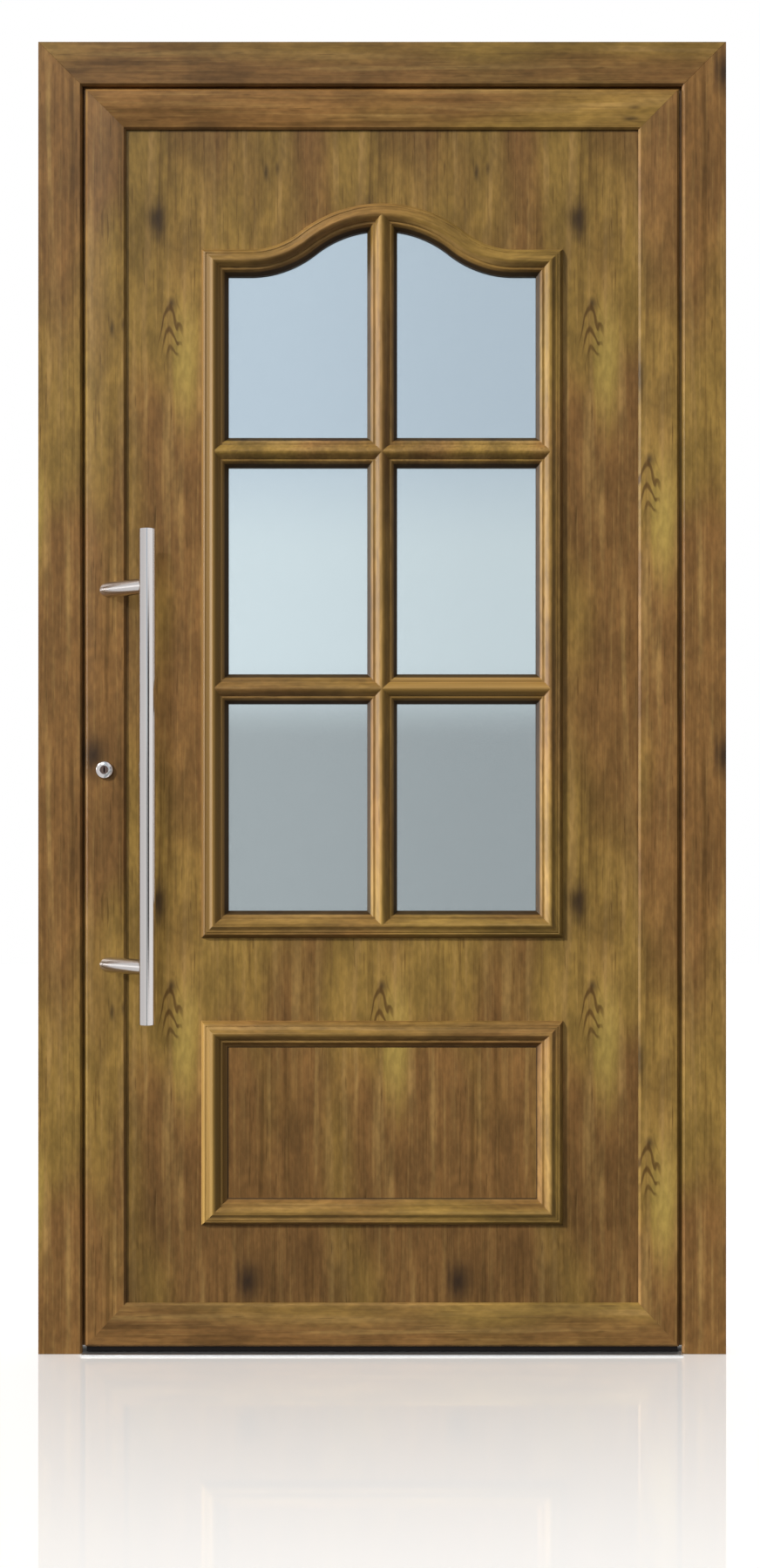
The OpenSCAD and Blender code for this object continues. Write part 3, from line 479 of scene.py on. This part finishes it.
# Distances along the section and along the path at each face corner; a closing face runs on past the end
def pathGrain(sectionAt, pathAt):
    closing = 0.02  # length given to the closing face

    def grainMap(faces, rows, columns):
        row, column = faces // columns, faces % columns
        closes = (row == 0) & (row.max(1, keepdims=True) == rows - 1)
        return np.stack([sectionAt[column], pathAt[row] + closes * (pathAt[-1] + closing)], -1)

    return grainMap


# Side towards the glass, as shares of the way to the crest and of its height: bevel, tread and slope
innerSide = np.array(
    [[0, 0.0], [0.18, 0.13], [0.38, 0.46], [0.42, 0.47], [0.53, 0.48], [0.545, 0.49], [0.55, 0.55]]
    + [[0.795, 0.876], [0.905, 0.97], [1, 1]]
)
# Side away from the glass, from the crest: hollow back, quirk and round bead
outerSide = np.array(
    [[0.10, 0.935], [0.27, 0.775], [0.40, 0.695], [0.53, 0.65], [0.56, 0.585], [0.60, 0.585]]
    + [[0.63, 0.62], [0.72, 0.575], [0.86, 0.405], [0.96, 0.17], [1, 0]]
)


# Corners cut twice: each becomes points at 1/4 and 3/4 of its two sides; the ends stay
def rounded(points):
    for _ in range(2):
        first, second = points[:-1], points[1:]
        cut = np.stack([0.75 * first + 0.25 * second, 0.25 * first + 0.75 * second], 1)
        points = np.concatenate([points[:1], cut.reshape(-1, 2), points[-1:]])
    return points


# Beside the glass the section starts below the panel's face and has a foot
def mouldingSection(foot):
    w, c, h = moulding["width"], moulding["crest"], moulding["height"]
    face = np.concatenate([innerSide * [c, h], [c, 0.0] + outerSide * [w - c, h]])
    if foot < 0:
        face[0, 1] = moulding["dip"] * h
        return np.concatenate([[[0.0, foot]], rounded(face)])
    return rounded(face)


def cornerAt(x, z):
    return np.stack([x, z], -1)


# Corner and arc stations of an outline moved outwards by d; the two arcs of an S have the same radius r
def windowOutline(d):
    d = d[None]
    half, bottom, shoulder = window["width"] / 2, window["bottom"], window["shoulder"]
    turn = 2 * np.arctan(2 * window["rise"] / window["span"])
    r = window["span"] / 4 / np.sin(turn)
    side = np.linspace(0, turn, 25)[:, None]
    crown = np.linspace(-turn, turn, 49)[::-1, None]
    rising = cornerAt(window["span"] / 2 - (r - d) * np.sin(side), shoulder + r - (r - d) * np.cos(side))
    top = cornerAt((r + d) * np.sin(crown), shoulder + window["rise"] - r + (r + d) * np.cos(crown))
    return np.concatenate(
        [
            cornerAt(-half - d, bottom - d),
            cornerAt(half + d, bottom - d),
            cornerAt(half + d, shoulder + d),
            rising,
            top[1:-1],
            rising[::-1] * [-1, 1],
            cornerAt(-half - d, shoulder + d),
        ]
    )


def fieldOutline(d):
    d = d[None]
    half, bottom, top = field["width"] / 2, field["bottom"], field["top"]
    return np.concatenate(
        [
            cornerAt(-half - d, bottom - d),
            cornerAt(half + d, bottom - d),
            cornerAt(half + d, top + d),
            cornerAt(-half - d, top + d),
        ]
    )


def lengths(steps):
    return np.concatenate([[0], np.cumsum(np.linalg.norm(np.diff(steps, axis=0), axis=1))])


# Places on the panel's outer face, or mirrored to its inner face
def onFace(flat, height, inside):
    y = panel["outside"] - height
    if inside:
        y = 2 * panel["middle"] - y
    points = np.stack([flat[..., 0], np.broadcast_to(y, flat.shape[:2]), flat[..., 1]], -1)
    return points[:, ::-1] if inside else points


faceSides = (("outer", False), ("inner", True))
for side, inside in faceSides:
    for outline, foot, name in (
        (windowOutline, -moulding["glassBack"], "window_moulding"),
        (fieldOutline, 0.0, "field_moulding"),
    ):
        section = mouldingSection(foot)
        flat = outline(section[:, 0])
        sectionAt = lengths(section)
        pathAt = lengths(flat[:, len(section) // 2])
        # The distance to the glass drives the painted shade; the field ring's is moved outwards so that only
        # a thin inner strip darkens
        edge = section[:, 0] if foot < 0 else section[:, 0] + paintedShadeLine["fieldShift"]
        if inside:
            sectionAt = sectionAt[::-1]
            edge = edge[::-1]
        cad = f"{side}_{name}"
        points = onFace(flat, section[:, 1], inside)
        surface("fine_" + cad, points, True, False, pathGrain(sectionAt, pathAt), [cad], cad, edge)
print("mouldings made")


# Glazing bar section across its width: the moulding's inner side on both hands
def barSection():
    right = [bars["half"], 0.0] + innerSide * [-bars["half"], bars["height"]]
    right[0, 1] = moulding["dip"] * bars["height"]
    right = np.concatenate([[[bars["half"], -bars["glassBack"]]], rounded(right)])
    return np.concatenate([right, right[-2::-1] * [-1, 1]])


section = barSection()
across = section[None, :, 0]
# Distance from a bar's edge, which the foil turns into painted shade beside the glass
barEdge = bars["half"] - np.abs(section[:, 0])
reach = moulding["crest"] - bars["cope"]
rowEnds = {
    "left": (-window["width"] / 2 - reach, -bars["middleGap"]),
    "right": (bars["middleGap"], window["width"] / 2 + reach),
}
crownEnd = window["shoulder"] + window["rise"] + reach - bars["crownGap"]
for side, inside in faceSides:
    sectionAt = lengths(section)[::-1] if inside else lengths(section)
    cad = side + "_mullion"
    ends = np.array([window["bottom"] - reach, crownEnd])
    flat = np.stack(np.broadcast_arrays(across, ends[:, None]), -1)
    points = onFace(flat, section[:, 1], inside)
    surface("fine_" + cad, points, False, False, pathGrain(sectionAt, ends), [cad], cad, barEdge)
    cad = side + "_crossbars"
    replaced = [cad]
    for number, z in enumerate(bars["rows"]):
        for hand, ends in rowEnds.items():
            ends = np.array(ends)
            flat = np.stack(np.broadcast_arrays(ends[:, None], z - across), -1)
            points = onFace(flat, section[:, 1], inside)
            name = f"fine_{cad}_{number}_{hand}"
            grainMap = pathGrain(sectionAt, ends + number)
            surface(name, points, False, False, grainMap, replaced, cad, barEdge)
            replaced = []
print("bars made")

# Pull bar: a lathed profile of (radius, height)
turn = np.linspace(0, 2 * np.pi, 97)[:-1]
r, e, half = pull["radius"], pull["edge"], pull["length"] / 2
quarter = np.radians(np.linspace(0, 90, 5))
profile = np.concatenate(
    [
        [[pull["tip"], -half]],
        np.stack([r - e + e * np.sin(quarter), -half + e - e * np.cos(quarter)], 1),
        np.stack([r - e + e * np.cos(quarter), half - e + e * np.sin(quarter)], 1),
        [[pull["tip"], half]],
    ]
)
points = np.stack(
    [
        pull["x"] + profile[:, :1] * np.cos(turn),
        pull["y"] + profile[:, :1] * np.sin(turn),
        pull["z"] + profile[:, 1:] * np.ones_like(turn),
    ],
    -1,
)
handle = [surface("fine_pull_bar", points, False, True, None, ["pull_bar"], "pull_bar")]

# Slanted supports: a round bar at 45 degrees from the pull bar's axis, cut by the leaf's face
slant = np.array([-1.0, 1.0, 0.0]) / np.sqrt(2)
sideways = np.array([1.0, 1.0, 0.0]) / np.sqrt(2)
upwards = np.array([0.0, 0.0, 1.0])
around = support["radius"] * (np.cos(turn)[:, None] * sideways + np.sin(turn)[:, None] * upwards)
for number, sign in enumerate((-1, 1)):
    origin = np.array([pull["x"], pull["y"], pull["z"] + sign * support["spacing"] / 2]) + around
    run = (support["face"] - origin[:, 1]) / slant[1]
    points = np.stack([origin, origin + run[:, None] * slant])
    replaced = [] if number else ["pull_supports"]
    name = f"fine_pull_support_{number}"
    handle.append(surface(name, points, False, True, None, replaced, "pull_supports"))
print("handle made")

for name in ("lock_jamb", "hinge_jamb", "frame_head", "lock_stile", "hinge_stile", "top_rail", "bottom_rail"):
    softCopy(name, softEdge["profile"])
for name in ("lock_side_bead", "hinge_side_bead", "top_bead", "bottom_bead", "door_panel"):
    softCopy(name, softEdge["panel"])
for name in ("lever", "lever_rose", "outer_rose", "inner_rose", "threshold"):
    softCopy(name, softEdge["metal"])
print("profiles softened")

# Floor: white, with a mirror image that fades towards the viewer
half = ground["half"]
corners = [(-half, -half, 0), (half, -half, 0), (half, half, 0), (-half, half, 0)]
mesh = bpy.data.meshes.new("floor")
mesh.from_pydata(corners, [], [(0, 1, 2, 3)])
floor = bpy.data.objects.new("floor", mesh)
floor.location.z = ground["level"]
bpy.context.scene.collection.objects.link(floor)
floor.visible_diffuse = False
floor.visible_glossy = False
made, tree, shader = material("whiteFloor")
shader.inputs["Base Color"].default_value = (*ground["color"], 1.0)
shader.inputs["Emission Color"].default_value = (*ground["glow"], 1.0)
shader.inputs["Emission Strength"].default_value = ground["glowStrength"]
shader.inputs["Roughness"].default_value = ground["roughness"]
shader.inputs["Specular IOR Level"].default_value = 0.0
place = node(tree, "ShaderNodeSeparateXYZ", {0: node(tree, "ShaderNodeTexCoord").outputs["Object"]})
mirrorInputs = {"Color": (1, 1, 1, 1), "Roughness": ground["mirrorRoughness"]}
mirror = node(tree, "ShaderNodeBsdfGlossy", mirrorInputs)
share = ramp(tree, place.outputs[1], *ground["mirror"])
mixed = node(tree, "ShaderNodeMixShader", {0: share, 1: shader.outputs[0], 2: mirror.outputs[0]})
tree.links.new(mixed.outputs[0], tree.nodes["Material Output"].inputs[0])
mesh.materials.append(made)


# Pieces that a lamp leaves out
def leftOut(name, pieces):
    made = bpy.data.collections.new(name)
    for piece in pieces:
        made.objects.link(piece)
    for item in made.collection_objects:
        item.light_linking.link_state = "EXCLUDE"
    return made


# Light: a key from the left in front, a grazing one along the door's face and a weak one from the front
unshaded = leftOut("unshaded", handle)  # the handle's shadow comes from the front light alone
unlit = leftOut("unlit", [floor, handle[0]])  # the floor glows, and the pull bar mirrors the room alone
for name, (energy, way, angle) in suns.items():
    sun = bpy.data.lights.new(name, "SUN")
    sun.energy = energy
    sun.angle = angle
    lamp = bpy.data.objects.new(name, sun)
    bpy.context.scene.collection.objects.link(lamp)
    tilt = np.arctan2(np.hypot(way[0], way[1]), -way[2])
    lamp.rotation_euler = (tilt, 0.0, np.arctan2(way[1], way[0]) - np.pi / 2)
    lamp.light_linking.receiver_collection = unlit
    if name != "front":
        lamp.light_linking.blocker_collection = unshaded

# Room: brighter above and on the left; steel mirrors a dark strip, panes a sky, and the camera sees white
scene = bpy.context.scene
scene.world = bpy.data.worlds.new("studio")
scene.world.use_nodes = True
tree = scene.world.node_tree
tree.nodes.clear()
way = node(tree, "ShaderNodeTexCoord").outputs["Generated"]
parts = node(tree, "ShaderNodeSeparateXYZ", {0: way})
ambient = ramp(tree, dot(tree, way, room["lightFrom"]), -1.0, 1.0, *room["ambient"])
ambient = calc(tree, "ADD", ambient, ramp(tree, parts.outputs[1], *room["behind"]))
front = calc(tree, "LESS_THAN", parts.outputs[1], 0.0)
fromStrip = calc(tree, "ABSOLUTE", calc(tree, "SUBTRACT", parts.outputs[0], room["stripAt"]))
lowWay = ramp(tree, calc(tree, "ABSOLUTE", parts.outputs[2]), *room["stripHeight"])
strip = calc(tree, "MULTIPLY", ramp(tree, fromStrip, *room["strip"]), lowWay)
dimmed = calc(tree, "SUBTRACT", 1.0, calc(tree, "MULTIPLY", strip, front))
shine = calc(tree, "MULTIPLY", dimmed, ramp(tree, parts.outputs[0], *room["sides"]))
patch = blend(tree, ramp(tree, parts.outputs[2], *sky["lowEnds"]), sky["low"], sky["middle"])
patch = blend(tree, ramp(tree, parts.outputs[2], *sky["highEnds"]), patch, sky["high"])
patch = times(tree, patch, ramp(tree, parts.outputs[0], *sky["fade"]))
middle = ramp(tree, calc(tree, "ABSOLUTE", parts.outputs[0]), *sky["sides"], 1.0, 0.0)
glossy = blend(tree, calc(tree, "MULTIPLY", middle, front), gray(tree, shine), patch)
path = node(tree, "ShaderNodeLightPath")
color = blend(tree, path.outputs["Is Glossy Ray"], gray(tree, ambient), glossy)
seen = calc(tree, "MAXIMUM", path.outputs["Is Camera Ray"], path.outputs["Is Transmission Ray"])
color = blend(tree, seen, color, (1.0, 1.0, 1.0))
back = node(tree, "ShaderNodeBackground", {"Color": color})
node(tree, "ShaderNodeOutputWorld", {0: back.outputs[0]})

lens = bpy.data.cameras.new("camera")
lens.sensor_width = view["film"]
lens.lens = view["film"] * view["distance"] / view["tall"]
lens.shift_x, lens.shift_y = view["shift"]
camera = bpy.data.objects.new("camera", lens)
camera.location = (view["x"], view["face"] - view["distance"], view["height"])
camera.rotation_euler = (np.pi / 2, 0.0, 0.0)
scene.collection.objects.link(camera)
scene.camera = camera
scene.view_settings.view_transform = "Standard"
print("stage set")
